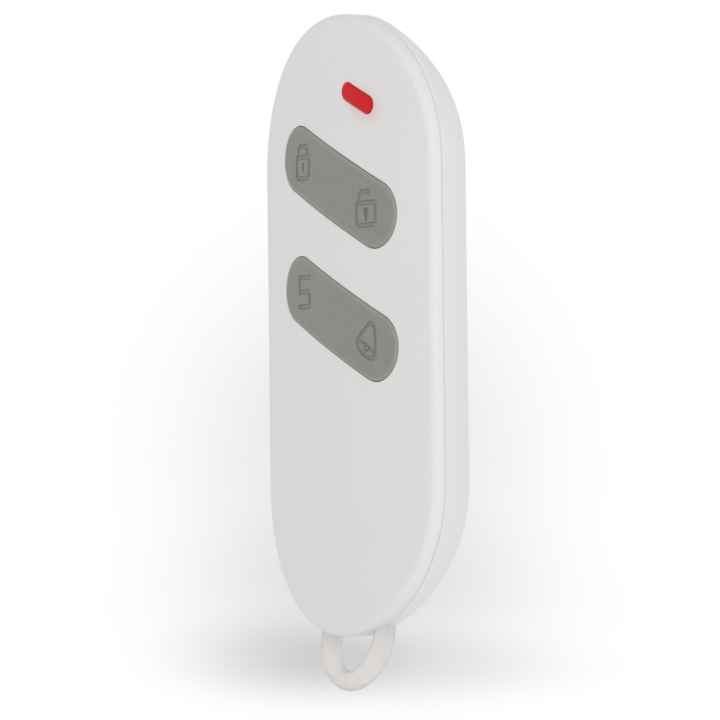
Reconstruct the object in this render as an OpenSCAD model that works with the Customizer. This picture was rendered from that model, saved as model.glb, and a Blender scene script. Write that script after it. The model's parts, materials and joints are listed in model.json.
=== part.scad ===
// Alarm key fob: a two-part moulded housing with two rocker keys, a light window and a key loop.
// Millimetres. Front face towards -Y, +X to the right seen from the front, +Z up along the body.
// The origin is the middle of the key loop's opening.

/* [Housing] */
// Length of the body without the key loop
body_len = 75; // [72:0.5:90]
// Width of the body
body_w = 36.8; // [34:0.2:44]
// Wall thickness of both covers
wall = 1.5; // [1.3:0.05:1.7]
// How far the middle of the face stands in front of its side edges
face_rise = 1.76; // [1.4:0.02:2.4]
// Rounding of the face's edge
edge_r = 0.95; // [0.5:0.05:1.2]
// Depth of the parting line behind the face's side edges
seam_y = 1.5; // [1.3:0.05:2]
// How far the parting line comes forward at the two ends
seam_bow = 1.16; // [0.6:0.02:1.6]
// Open shadow line between the covers
seam_gap = 0.15; // [0.1:0.05:0.3]
// Depth of the flat back behind the face's side edges
back_y = 9.5; // [9.3:0.1:12]
// Lean of the rear wall
rear_taper = 31; // [24:1:36]
// Rounding between the rear wall and the flat back
rear_round = 7.6; // [5:0.1:8]
// Height of the tongue that keys the front cover into the rear cover
tongue_h = 0.6; // [0.4:0.05:0.8]
// Thickness of the tongue
tongue_t = 0.55; // [0.4:0.05:0.6]
// Clearance round the tongue
tongue_gap = 0.1; // [0.05:0.05:0.2]

/* [Rocker keys] */
// Length of a key
key_len = 26.2; // [22:0.2:28]
// Width of a key
key_w = 8; // [6.5:0.1:9]
// Slope of the keys and the light window, right end down
key_tilt = 25; // [0:1:30]
// Distance of the upper key's middle from the top end
upper_key_drop = 20.8; // [20:0.1:22]
// Distance between the two keys' middles
key_pitch = 15.9; // [15:0.1:18]
// Gap between a key and its window
key_gap = 0.12; // [0.1:0.02:0.3]
// Depth of a key's underside
key_back = 0.3; // [0.2:0.05:0.5]
// Depth of the pivot axis
pivot_y = 0.95; // [0.85:0.05:1.1]
// Diameter of the pivot pins
pivot_d = 1.6; // [1.2:0.1:1.8]
// Running clearance round a pivot pin, on the radius
pivot_gap = 0.05; // [0.02:0.01:0.1]
// Thickness of a pivot lug
lug_t = 1.5; // [1.2:0.1:1.8]
// Mouth through which a pivot pin snaps into its lug
lug_mouth = 1.25; // [1:0.05:1.4]
// Distance of a pusher from the key's end
pusher_in = 4; // [3.2:0.1:5.2]
// Diameter of a pusher
pusher_d = 2; // [1.4:0.1:2.6]

/* [Indicator] */
// Length of the red lens
lens_len = 6.6; // [5:0.1:8]
// Width of the red lens
lens_w = 2.2; // [1.8:0.1:2.6]
// Distance of the lens from the centre line
lens_x = 5; // [4.6:0.1:6.5]
// Distance of the lens's middle from the top end
lens_drop = 10.5; // [9.8:0.1:11]
// How far the lens stands proud of the face
lens_proud = 0.15; // [0:0.05:0.4]
// Clearance round the lens
lens_gap = 0.05; // [0.03:0.01:0.1]

/* [Key loop] */
// Diameter of the loop's rod
rod_d = 2.6; // [2:0.05:3]
// Radius of the loop's bend, to the middle of the rod
loop_r = 5.7; // [5:0.1:7]
// Distance of the bend's centre above the body's lower end
loop_rise = 0.3; // [0:0.1:1]
// Lean of the bend towards the front
loop_lean = 12.5; // [0:0.5:16]
// Depth of the plane through the loop's legs
loop_y = 1; // [0.8:0.05:1.2]
// Diameter of the foot at the end of each leg
foot_d = 4; // [3.4:0.1:4.2]
// Thickness of a foot
foot_t = 1.2; // [0.8:0.1:1.5]
// Clearance round the rod in the covers
rod_gap = 0.05; // [0.02:0.01:0.1]

/* [Board and battery] */
// Depth of the circuit board's front
board_y = 2.6; // [2.5:0.05:2.9]
// Thickness of the circuit board
board_t = 1; // [0.6:0.1:1.1]
// Gap between the board's edge and the rear cover
board_gap = 0.5; // [0.3:0.1:0.8]
// Diameter of the coin cell
cell_d = 20; // [16:0.5:20.5]
// Thickness of the coin cell
cell_t = 3.2; // [1.6:0.1:3.3]
// Distance of the cell's middle from the lower end
cell_rise = 21; // [20.6:0.1:22]
// Sheet metal of the battery clip and contact
sheet_t = 0.25; // [0.15:0.05:0.3]
// Height of the contact that holds the cell off the board
contact_h = 0.4; // [0.3:0.05:0.5]
// Diameter of a snap dome
dome_d = 4; // [3:0.1:5]
// Height of a snap dome
dome_h = 0.3; // [0.2:0.02:0.36]
// Sheet metal of a snap dome
dome_t = 0.1; // [0.06:0.01:0.12]
// Free play between a pusher and its dome
dome_gap = 0.05; // [0.02:0.01:0.1]
// Diameter of the posts that hold the board
post_d = 2.4; // [2:0.1:2.6]

/* [Screws] */
// Distance of a screw from the nearer end of the body
screw_edge = 6.5; // [6.3:0.1:6.8]
// Thread diameter of the screws
screw_d = 1.6; // [1.4:0.1:1.8]
// Head diameter of the screws
head_d = 3.2; // [2.8:0.1:3.4]
// Head height of the screws
head_h = 1.1; // [0.9:0.1:1.3]
// Depth of the floor that a screw head sits on
head_seat = 6.9; // [6.5:0.1:7.1]
// Clearance round a screw
screw_gap = 0.15; // [0.1:0.05:0.25]
// Outer diameter of the front cover's screw bosses
boss_d = 3.8; // [3.4:0.1:4]

/* [Hidden] */
$fn = 96;
// Facets of the large bowed surfaces
bow_fn = 720;
// Steps round each end of the face and across its rounded edge
end_steps = 36;
edge_steps = 5;
// Overlap of cuts and joined shapes
bite = 0.4;
// Length past every outside face
past = 20;

half_w = body_w / 2;
half_len = body_len / 2;
end_z = half_len - half_w;
seam_front = seam_y - seam_bow - bite;
board_back = board_y + board_t;

// Radius of a surface that bows forward by rise over the body's width
function bow_r(rise) = (half_w * half_w + rise * rise) / (2 * rise);
// Depth at x of a surface that bows forward by rise from the depth edge_y at the sides
function bow_y(x, edge_y, rise) =
    edge_y - rise + bow_r(rise) - sqrt(bow_r(rise) * bow_r(rise) - x * x);
function face_y(x) = bow_y(x, 0, face_rise);
// Depth from which an inner boss or post grows out of the front wall
function root_y(x) = face_y(x) + wall / 2;

// Rear wall: a straight taper, then an arc about round_c on to the flat back
taper_h = back_y - rear_round + rear_round * sin(rear_taper) - seam_y;
flat_r = half_w - taper_h * tan(rear_taper) - rear_round * cos(rear_taper);
round_c = [flat_r, back_y - rear_round];
// Reach of the rear cavity from the end centres at the depth y of the tapered wall
function cavity_r(y) = half_w - (y - seam_y) * tan(rear_taper) - wall / cos(rear_taper);

upper_key_z = half_len - upper_key_drop;
lower_key_z = upper_key_z - key_pitch;
key_ends_z = (key_len - key_w) / 2 * sin(key_tilt);
keys_mid_z = upper_key_z - key_pitch / 2;
// A lug's distance from the window, its wall beside the pin and its reach behind the pin
lug_off = 0.25;
lug_wall = 0.7;
lug_tip = 0.4;
lug_start = key_w / 2 + key_gap + lug_off;
lug_half = pivot_d / 2 + lug_wall;
lug_back = pivot_y + pivot_d / 2 + lug_tip;
pusher_reach = key_len / 2 - pusher_in;
pusher_end = board_y - dome_h - dome_gap;

lens_z = half_len - lens_drop;
// Overhang and thickness of the lens's flange behind the wall
lens_flange = 0.5;
lens_flange_t = 0.7;
// Light on the board: its size along the lens, in depth and across, and its gap to the lens
led_size = [3.2, 1.1, 1.6];
led_gap = 0.15;
lens_stem_end = board_y - led_size[1] - led_gap;

loop_z = -half_len + loop_rise;
open_end = loop_z - (loop_r - rod_d / 2) * cos(loop_lean);
origin_z = (open_end - half_len) / 2;
// Cradles under the loop's feet: their wall beside a foot and their lift off the curved end wall
cradle_wall = 0.7;
cradle_lift = 0.5;
cradle_half = foot_d / 2 + cradle_wall;
foot_z = -end_z - sqrt(pow(half_w - wall, 2) - pow(loop_r + cradle_half, 2)) + cradle_lift;
cradle_back = loop_y + foot_d / 2 + cradle_wall;

cell_z = -half_len + cell_rise;
cell_y = board_back + contact_h;
clip_y = cell_y + cell_t;
// Width of the battery clip, its gap to the cell's rim and the length of its soldered feet
clip_w = 6;
clip_gap = 0.15;
clip_foot = 1.8;
clip_reach = cell_d / 2 + clip_gap;

screw_z = half_len - screw_edge;
// Reach of the front bosses past the board, wall round a head and play in front of a screw's tip
boss_past = 0.4;
seat_wall = 1.1;
tip_gap = 1;
// Play between a screw's thread and the bore that it forms its thread in
thread_gap = 0.05;
boss_meet = board_back + boss_past;
seat_boss_d = head_d + 2 * screw_gap + 2 * seat_wall;
screw_len = head_seat - root_y(0) - tip_gap;

board_r = cavity_r(board_back) - board_gap;
// The board's lower edge lies this far above the lower screw, whose boss notches it
board_above_screw = 1.5;
board_low = -screw_z + board_above_screw;
// Posts near the board's upper and lower ends and beside the space between the keys
post_end_in = 4;
post_top_drop = 11;
post_low_rise = 12.5;
post_side_in = 1.8;
post_end_x = board_r - post_end_in;
post_side_x = board_r - post_side_in;
posts = [
    for (side = [-1, 1]) each [
        [side * post_end_x, half_len - post_top_drop],
        [side * post_side_x, keys_mid_z - side * key_ends_z],
        [side * post_end_x, -half_len + post_low_rise]]];

// Parts on the board's rear: distance of the two columns from the centre line, drop of the second
// row below the first, distance of the antenna from the top end and its gap to a post, distance of
// the resistors from the board's edge, and pitch of the small parts
chip_x = 6;
row_drop = 7;
antenna_drop = 12;
antenna_gap = 0.8;
resistor_in = 4.4;
chip_pitch = 2.2;
// Sizes along X, in depth and along Z
controller_size = [4, 1.5, 5];
radio_size = [4, 0.9, 4];
antenna_size = [6.6, 1.2, 2];
// Middles in X and Z
controller_spot = [-chip_x, upper_key_z];
radio_spot = [chip_x, upper_key_z];
crystal_spot = [chip_x, upper_key_z - row_drop];
coil_spot = [-chip_x, upper_key_z - row_drop];
capacitor_spot = [0, upper_key_z - row_drop];
resistor_spot = [board_r - resistor_in, upper_key_z];
antenna_spot = [post_d / 2 + antenna_gap + antenna_size[0] / 2 - post_end_x, half_len - antenna_drop];

module placed() {
    translate([0, -loop_y, -origin_z]) children();
}

// Extrudes an outline drawn in X and Z from the depth y0 to the depth y1
module along_depth(y0, y1) {
    translate([0, y1, 0]) rotate([90, 0, 0]) linear_extrude(y1 - y0) children();
}

// Body outline, drawn in by inset all round
module body_outline(inset) {
    square([body_w - 2 * inset, 2 * end_z], center = true);
    for (side = [-1, 1])
        translate([0, side * end_z]) circle(half_w - inset);
}

// Long outline with round ends
module pill(length, width) {
    square([length - width, width], center = true);
    for (side = [-1, 1])
        translate([side * (length - width) / 2, 0]) circle(d = width);
}

// Everything behind a surface that bows forward by rise from the depth edge_y at the sides
module behind(edge_y, rise, inset = 0) {
    translate([0, edge_y - rise + bow_r(rise), 0])
        cylinder(h = body_len + 2 * past, r = bow_r(rise) - inset, center = true, $fn = bow_fn);
}

// Turns a shape to the slope of the keys, about the point at x and z
module on_slope(x, z) {
    translate([x, 0, z]) rotate([0, key_tilt, 0]) children();
}

// Front cover's outer form: bowed face, rounded edge, upright wall and bowed parting face
module front_form() {
    count = 2 * end_steps + 2;
    function outline(i, inset) =
        let (top = i <= end_steps)
        let (turn = 180 * (top ? i : i - 1) / end_steps)
        [(half_w - inset) * cos(turn), (half_w - inset) * sin(turn) + (top ? end_z : -end_z)];
    function on_edge(i, turn) =
        let (p = outline(i, edge_r * (1 - sin(turn))))
        [p[0], face_y(p[0]) + edge_r * (1 - cos(turn)), p[1]];
    function on_seam(i) =
        let (p = outline(i, 0))
        [p[0], bow_y(p[0], seam_y, seam_bow), p[1]];
    rings = edge_steps + 1;
    function at(ring, i) = ring * count + i % count;
    points = [
        for (ring = [0 : edge_steps], i = [0 : count - 1]) on_edge(i, 90 * ring / edge_steps),
        for (i = [0 : count - 1]) on_seam(i)];
    sides = [for (ring = [0 : rings - 1], i = [0 : count - 1], half = [0, 1])
        half == 0 ? [at(ring, i), at(ring, i + 1), at(ring + 1, i + 1)]
            : [at(ring, i), at(ring + 1, i + 1), at(ring + 1, i)]];
    // The bowed faces are straight along the body, so each strip joins points that face each other
    face = [for (i = [0 : end_steps - 1])
        [at(0, count - 1 - i), at(0, count - 2 - i), at(0, i + 1), at(0, i)]];
    parting = [for (i = [0 : end_steps - 1])
        [at(rings, i), at(rings, i + 1), at(rings, count - 2 - i), at(rings, count - 1 - i)]];
    polyhedron(points, concat(sides, face, parting), convexity = 4);
}

// Rear cover's half section from the end centre outwards, drawn in by inset
module rear_section(inset) {
    meet = round_c + (rear_round - inset) * [cos(rear_taper), sin(rear_taper)];
    polygon([[0, seam_front], [half_w - inset, seam_front],
        [half_w - inset, seam_y - inset * tan(rear_taper / 2)], meet,
        [flat_r, back_y - inset], [0, back_y - inset]]);
    intersection() {
        translate(round_c) circle(rear_round - inset);
        translate(round_c) square(rear_round);
    }
}

// Rear cover's form: the section drawn along the straight sides and turned round both ends
module rear_form(inset) {
    linear_extrude(2 * end_z, center = true)
        for (side = [0, 1]) mirror([side, 0]) rear_section(inset);
    for (turn = [0, 180])
        rotate([0, turn, 0]) translate([0, 0, -end_z])
            rotate([-90, 0, 0]) rotate_extrude(angle = 180) rear_section(inset);
}

// Lug that a key's pivot pin snaps into from behind, on one side of the key
module pivot_lug(side) {
    difference() {
        translate([-lug_half, root_y(0), side > 0 ? lug_start : -lug_start - lug_t])
            cube([2 * lug_half, lug_back - root_y(0), lug_t]);
        translate([0, pivot_y, 0])
            cylinder(h = 4 * key_w, d = pivot_d + 2 * pivot_gap, center = true);
        translate([-lug_mouth / 2, pivot_y, -2 * key_w]) cube([lug_mouth, past, 4 * key_w]);
    }
}

// Outline of the cradles that hold the key loop's feet, inside the end wall
module cradle_outline() {
    intersection() {
        body_outline(wall / 2);
        for (side = [-1, 1])
            translate([side * loop_r - cradle_half, -half_len])
                square([2 * cradle_half, foot_z + half_len]);
    }
}

// Straight legs of the key loop, starting the given length below the bend's centre
module loop_legs(below, gap) {
    for (side = [-1, 1])
        translate([side * loop_r, loop_y, loop_z - below])
            cylinder(h = below + foot_z + foot_t + gap - loop_z, d = rod_d + 2 * gap);
}

// Round bars along both screws' axes, from the depth y0 to the depth y1
module screw_axes(y0, y1, d) {
    along_depth(y0, y1)
        for (side = [-1, 1]) translate([0, side * screw_z]) circle(d = d);
}

// Front cover: the hollowed form with its tongue, lugs, posts, bosses and cradles, then its windows
module front_cover() color("white") placed() difference() {
    union() {
        difference() {
            union() {
                front_form();
                difference() {
                    along_depth(seam_front, seam_y + past) body_outline(wall - tongue_t);
                    behind(seam_y + tongue_h, seam_bow);
                }
            }
            intersection() {
                along_depth(-past, past) body_outline(wall);
                behind(0, face_rise, wall);
            }
        }
        for (z = [upper_key_z, lower_key_z], side = [-1, 1])
            on_slope(0, z) pivot_lug(side);
        for (post = posts)
            along_depth(root_y(post[0]), board_y) translate(post) circle(d = post_d);
        screw_axes(root_y(0), boss_meet, boss_d);
        difference() {
            along_depth(root_y(loop_r), seam_y) cradle_outline();
            behind(seam_y, seam_bow);
        }
    }
    for (z = [upper_key_z, lower_key_z])
        on_slope(0, z) along_depth(-past, board_y)
            pill(key_len + 2 * key_gap, key_w + 2 * key_gap);
    on_slope(lens_x, lens_z) along_depth(-past, board_y)
        pill(lens_len + 2 * lens_gap, lens_w + 2 * lens_gap);
    screw_axes(root_y(0) + wall / 2, boss_meet + bite, screw_d);
    loop_legs(past, rod_gap);
}

// Rear cover: the form less its cavity, where posts, screw seats and cradles are left standing
module rear_cover() color("white") placed() difference() {
    intersection() {
        rear_form(0);
        behind(seam_y + seam_gap, seam_bow);
    }
    difference() {
        rear_form(wall);
        for (post = posts)
            along_depth(board_back, back_y) translate(post) circle(d = post_d);
        screw_axes(boss_meet, back_y, seat_boss_d);
        along_depth(seam_front, cradle_back) cradle_outline();
    }
    difference() {
        along_depth(seam_front - bite, back_y) body_outline(wall - tongue_t - tongue_gap);
        behind(seam_y + tongue_h + tongue_gap, seam_bow);
    }
    screw_axes(boss_meet - bite, back_y, screw_d + 2 * screw_gap);
    screw_axes(head_seat, back_y + bite, head_d + 2 * screw_gap);
    loop_legs(past, rod_gap);
}

// Key flush with the face, with a rib down to its pivot pins and a pusher over each dome
module rocker_key(z) {
    intersection() {
        on_slope(0, z) along_depth(-past, key_back) pill(key_len, key_w);
        behind(0, face_rise);
    }
    on_slope(0, z) {
        translate([-pivot_d / 2, 0, -key_w / 2]) cube([pivot_d, pivot_y, key_w]);
        translate([0, pivot_y, 0])
            cylinder(h = 2 * (lug_start + lug_t), d = pivot_d, center = true);
        for (side = [-1, 1])
            along_depth(0, pusher_end) translate([side * pusher_reach, 0]) circle(d = pusher_d);
    }
}

module upper_rocker_key() color("gray") placed() rocker_key(upper_key_z);

module lower_rocker_key() color("gray") placed() rocker_key(lower_key_z);

// Lens with a flange behind the wall and a stem that reaches the light below it
module indicator_lens() color("crimson") placed() union() {
    intersection() {
        on_slope(lens_x, lens_z) along_depth(-past, lens_stem_end) pill(lens_len, lens_w);
        behind(0, face_rise, -lens_proud);
    }
    intersection() {
        on_slope(lens_x, lens_z) along_depth(-past, root_y(lens_x) + wall / 2 + lens_flange_t)
            pill(lens_len + 2 * lens_flange, lens_w + 2 * lens_flange);
        behind(0, face_rise, wall + lens_gap);
    }
}

// Leaning half ring, a ball where it meets each straight leg, and a foot on each leg, cut back to
// clear the front wall
module key_loop() color("gainsboro") placed() union() {
    translate([0, loop_y, loop_z]) rotate([90 - loop_lean, 0, 0]) rotate([0, 0, 180])
        rotate_extrude(angle = 180) translate([loop_r, 0]) circle(d = rod_d);
    for (side = [-1, 1]) translate([side * loop_r, loop_y, loop_z]) sphere(d = rod_d);
    loop_legs(0, 0);
    intersection() {
        for (side = [-1, 1])
            translate([side * loop_r, loop_y, foot_z]) cylinder(h = foot_t, d = foot_d);
        behind(0, face_rise, wall + rod_gap);
    }
}

// Board with its lower end cut straight and room for both screw bosses
module circuit_board() color("seagreen") placed() along_depth(board_y, board_back)
    difference() {
        intersection() {
            body_outline(half_w - board_r);
            translate([-half_w, board_low]) square([body_w, half_len - board_low]);
        }
        for (side = [-1, 1])
            translate([0, side * screw_z]) circle(d = boss_d + 2 * screw_gap);
    }

// Coin cell: the smaller negative cap faces the board and both edges of the can are rounded
module coin_cell() color("silver") placed() translate([0, cell_y, cell_z]) rotate([-90, 0, 0])
    rotate_extrude() {
        cap_step = 1.4;
        rim = 0.3;
        square([cell_d / 2 - cap_step, cell_t]);
        translate([0, rim]) square([cell_d / 2 - rim, cell_t - rim]);
        translate([0, 2 * rim]) square([cell_d / 2, cell_t - 3 * rim]);
        for (y = [2 * rim, cell_t - rim])
            translate([cell_d / 2 - rim, y]) circle(rim);
    }

// Strap across the cell's rear face, with a leg and a soldered foot at each end
module battery_clip() color("lightgray") placed() translate([0, 0, cell_z])
    rotate([90, 0, 90]) linear_extrude(clip_w, center = true) {
        translate([clip_y, -clip_reach]) square([sheet_t, 2 * clip_reach]);
        for (side = [0, 1])
            mirror([0, side]) {
                translate([board_back, clip_reach])
                    square([clip_y + sheet_t - board_back, sheet_t]);
                translate([board_back, clip_reach]) square([sheet_t, clip_foot]);
            }
    }

// Pressed disc under the cell's negative cap
module battery_contact() color("khaki") placed() translate([0, 0, cell_z]) {
    disc_d = 8;
    bump_d = 4.5;
    along_depth(board_back, board_back + sheet_t) circle(d = disc_d);
    along_depth(board_back, board_back + contact_h) circle(d = bump_d);
}

// Snap dome on the board under one end of a key
module snap_dome(z, side) color("lightsteelblue") placed() on_slope(0, z)
    translate([side * pusher_reach, board_y, 0]) rotate([90, 0, 0]) rotate_extrude() {
        dome_r = dome_d / 2;
        bend_r = (dome_r * dome_r + dome_h * dome_h) / (2 * dome_h);
        intersection() {
            translate([0, dome_h - bend_r]) difference() {
                circle(bend_r, $fn = bow_fn);
                circle(bend_r - dome_t, $fn = bow_fn);
            }
            square([dome_r, dome_h]);
        }
    }

module arm_dome() snap_dome(upper_key_z, -1);

module disarm_dome() snap_dome(upper_key_z, 1);

module part_arm_dome() snap_dome(lower_key_z, -1);

module panic_dome() snap_dome(lower_key_z, 1);

// Surface-mounted light: a body with a small clear dome that faces the lens
module indicator_led() color("ivory") placed() on_slope(lens_x, lens_z) {
    dome_rise = 0.4;
    end_margin = 0.5;
    side_margin = 0.2;
    body_h = led_size[1] - dome_rise;
    translate([-led_size[0] / 2, board_y - body_h, -led_size[2] / 2])
        cube([led_size[0], body_h, led_size[2]]);
    along_depth(board_y - led_size[1], board_y)
        pill(led_size[0] - 2 * end_margin, led_size[2] - 2 * side_margin);
}

// Block soldered to the board's rear, size along X, depth and Z
module on_board(spot, size) {
    translate([spot[0] - size[0] / 2, board_back, spot[1] - size[2] / 2]) cube(size);
}

// Eight-lead chip: a body that stands off the board, with a step-shaped lead at each place
module controller_chip() color("dimgray") placed() {
    standoff = 0.15;
    lead_reach = 0.5;
    lead_w = 0.4;
    lead_h = 0.6;
    foot_h = 0.2;
    lead_pitch = 1.27;
    half_x = controller_size[0] / 2;
    translate([0, standoff, 0]) on_board(controller_spot, controller_size - [0, standoff, 0]);
    for (row = [-1.5 : 1.5], side = [-1, 1])
        translate([0, 0, row * lead_pitch]) {
            foot_x = side * (half_x + lead_reach);
            on_board(controller_spot + [foot_x, 0], [2 * lead_reach, foot_h, lead_w]);
            on_board(controller_spot + [side * half_x, 0], [2 * lead_reach, lead_h, lead_w]);
        }
}

// Flat chip without leads
module radio_chip() color("dimgray") placed() on_board(radio_spot, radio_size);

// Metal can with a flange round its foot
module crystal() color("silver") placed() translate([crystal_spot[0], 0, crystal_spot[1]]) {
    can_len = 4.8;
    can_w = 3.2;
    can_h = 1.4;
    flange = 0.3;
    along_depth(board_back, board_back + flange) pill(can_len + 2 * flange, can_w + 2 * flange);
    along_depth(board_back, board_back + can_h) pill(can_len, can_w);
}

// Ceramic bar near the upper end, away from the cell
module chip_antenna() color("linen") placed() on_board(antenna_spot, antenna_size);

// Drum core with two flanges
module tuning_coil() color("saddlebrown") placed() translate([coil_spot[0], 0, coil_spot[1]]) {
    flange_d = 3.4;
    flange_t = 0.5;
    core_d = 2.4;
    core_h = 1.8;
    along_depth(board_back, board_back + core_h) circle(d = core_d);
    for (y = [board_back, board_back + core_h - flange_t])
        along_depth(y, y + flange_t) circle(d = flange_d);
}

// Row of chip parts with metal ends
module chip_row(spot, count, height) {
    body_len_x = 1.4;
    body_w_z = 1.2;
    cap_len = 0.4;
    plating = 0.03;
    cap_x = body_len_x / 2 + cap_len / 4;
    for (i = [0 : count - 1]) {
        here = spot + [0, i * chip_pitch];
        on_board(here, [body_len_x, height, body_w_z]);
        for (side = [-1, 1])
            on_board(here + [side * cap_x, 0], [cap_len, height + 2 * plating, body_w_z + 2 * plating]);
    }
}

module capacitors() color("peru") placed() chip_row(capacitor_spot, count = 3, height = 0.85);

module resistors() color("black") placed() chip_row(resistor_spot, count = 4, height = 0.5);

// Screws from the rear, each with a cross recess in its head
module housing_screws() color("silver") placed() for (side = [-1, 1])
    translate([0, 0, side * screw_z]) difference() {
        recess_w = 0.55;
        union() {
            along_depth(head_seat - screw_len, head_seat + bite) circle(d = screw_d - 2 * thread_gap);
            along_depth(head_seat, head_seat + head_h) circle(d = head_d);
        }
        for (turn = [0, 90])
            rotate([0, turn, 0]) translate([0, head_seat + head_h, 0])
                cube([head_d / 2 + recess_w, head_h, recess_w], center = true);
    }

front_cover();
rear_cover();
upper_rocker_key();
lower_rocker_key();
indicator_lens();
key_loop();
circuit_board();
coin_cell();
battery_clip();
battery_contact();
arm_dome();
disarm_dome();
part_arm_dome();
panic_dome();
indicator_led();
controller_chip();
radio_chip();
crystal();
chip_antenna();
tuning_coil();
capacitors();
resistors();
housing_screws();
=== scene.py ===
import json
import math
import bmesh
import bpy
import numpy as np
from mathutils import Matrix, Vector


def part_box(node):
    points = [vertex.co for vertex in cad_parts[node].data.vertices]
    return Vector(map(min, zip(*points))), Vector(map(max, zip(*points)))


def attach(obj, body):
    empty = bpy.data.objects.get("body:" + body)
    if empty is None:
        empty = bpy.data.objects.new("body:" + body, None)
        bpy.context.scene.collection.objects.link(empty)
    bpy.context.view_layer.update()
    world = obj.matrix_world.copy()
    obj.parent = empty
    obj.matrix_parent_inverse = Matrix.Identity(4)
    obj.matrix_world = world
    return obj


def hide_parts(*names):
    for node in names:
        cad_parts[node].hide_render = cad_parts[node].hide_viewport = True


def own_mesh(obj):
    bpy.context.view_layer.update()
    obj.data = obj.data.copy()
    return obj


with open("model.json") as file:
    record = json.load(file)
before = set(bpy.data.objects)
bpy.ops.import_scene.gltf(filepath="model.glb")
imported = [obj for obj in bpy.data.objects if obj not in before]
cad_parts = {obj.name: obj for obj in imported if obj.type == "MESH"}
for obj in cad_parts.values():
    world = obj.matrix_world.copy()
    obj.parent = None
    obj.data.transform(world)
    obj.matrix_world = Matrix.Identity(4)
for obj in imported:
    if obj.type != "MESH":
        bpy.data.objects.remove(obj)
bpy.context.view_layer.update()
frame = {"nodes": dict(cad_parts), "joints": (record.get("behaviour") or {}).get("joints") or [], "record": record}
mm = 0.001
scene = bpy.context.scene
nodes = frame["nodes"]
joints = {joint["name"]: joint for joint in frame["joints"]}
print("frame loaded:", len(nodes), "nodes")

# The housing, in millimetres, read from the frame where the frame holds it
frontLow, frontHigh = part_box("front_cover")
halfWide = frontHigh.x / mm
midZ = (frontLow.z + frontHigh.z) / 2 / mm
endZ = (frontHigh.z - frontLow.z) / 2 / mm - halfWide  # from the middle to the centre of each round end
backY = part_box("rear_cover")[1].y / mm
slope = math.atan2(joints["upper_key_rock"]["axis"][0], joints["upper_key_rock"]["axis"][2])
housing = {
    "rimY": -1.0,  # plane of the face's side edges
    "faceRise": 1.76,  # how far the face bows out of that plane
    "edgeRound": 0.8,
    "edgeSteps": 8,
    "wall": 1.5,
    "seamDeep": 1.4,  # parting line behind the rim plane, at the sides
    "seamBow": 1.16,  # how far the parting line comes forward at the two ends
    "seamGap": 0.04,
    "frontEdge": (0.15, 0.10),  # broken edge at the parting line: along the wall, and drawn in
    "rearEdge": (0.50, 0.36),
    "seamSteps": 6,
    "lipSteps": 3,
    "tongueDeep": 0.6,
    "tongueThick": 0.55,
    "tongueGap": 0.1,
    "wallStart": 1.5,  # depth behind the rim plane at which the rear wall starts to lean
    "wallLean": math.radians(22.1),  # its lean there
    "wallRound": 16.8,  # radius on which that wall turns in
    "backLean": math.radians(52),  # lean from which a tighter arc runs on to the flat back
    "endFull": 0.45,  # how much further back the wall starts to lean at the end with the loop
    "endSlim": 0.2,  # how much the wall is drawn in half way back at the other end
    "wallSteps": 18,
    "leastWall": 0.02,  # least length of wall behind the broken edge
    "backRadius": 14.4,  # end radius of the grid of points on the back
    "innerRadius": 14.2,  # and of the one inside it
    "innerSteps": 5,
}
rimY = housing["rimY"]


# Camera and stage

photoView = {
    "yaw": math.radians(56.93),
    "pitch": math.radians(-2.39),
    "roll": math.radians(-0.65),
    "distance": 626.6,  # from the middle of the face, in millimetres
    "lens": 259.8,
    "faceAt": (348.2, 325.15),  # pixel where the middle of the face appears
    "frameSize": 720,
}


def addCamera(view):
    # Looks at the middle of the face from the given yaw and pitch, then turns by the small angles
    # that bring the middle of the face to its pixel
    away = Vector((
        math.cos(view["pitch"]) * math.sin(view["yaw"]),
        -math.cos(view["pitch"]) * math.cos(view["yaw"]),
        math.sin(view["pitch"])))
    level = Vector((math.cos(view["yaw"]), math.sin(view["yaw"]), 0))
    upright = level.cross(-away)
    right = level * math.cos(view["roll"]) + upright * math.sin(view["roll"])
    up = upright * math.cos(view["roll"]) - level * math.sin(view["roll"])
    data = bpy.data.cameras.new("photoCamera")
    data.lens = view["lens"]
    focal = view["lens"] / data.sensor_width * view["frameSize"]
    offX = view["faceAt"][0] - view["frameSize"] / 2
    offY = view["faceAt"][1] - view["frameSize"] / 2
    forward = (-away * focal - right * offX + up * offY).normalized()
    right = (right - forward * right.dot(forward)).normalized()
    up = right.cross(forward)
    camera = bpy.data.objects.new("photoCamera", data)
    camera.matrix_world = Matrix((right, up, -forward)).transposed().to_4x4()
    camera.location = (Vector((0, rimY, midZ)) + away * view["distance"]) * mm
    scene.collection.objects.link(camera)
    scene.camera = camera


def linear(hexColour):
    # sRGB hex to the linear colour that the shaders take
    value = np.array([int(hexColour[i:i + 2], 16) / 255 for i in (1, 3, 5)])
    value = np.where(value <= 0.04045, value / 12.92, ((value + 0.055) / 1.055) ** 2.4)
    return (*value, 1.0)


def addNode(tree, kind, inputs=None, **settings):
    # Adds a node, sets its properties, then sets or links its inputs
    node = tree.nodes.new("ShaderNode" + kind)
    for name, value in settings.items():
        setattr(node, name, value)
    for name, value in (inputs or {}).items():
        if isinstance(value, bpy.types.NodeSocket):
            tree.links.new(value, node.inputs[name])
        else:
            node.inputs[name].default_value = value
    return node


def emptyMaterial(name):
    # A named material with nothing in its node tree
    material = bpy.data.materials.new(name)
    material.use_nodes = True
    material.node_tree.nodes.clear()
    return material, material.node_tree


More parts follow.
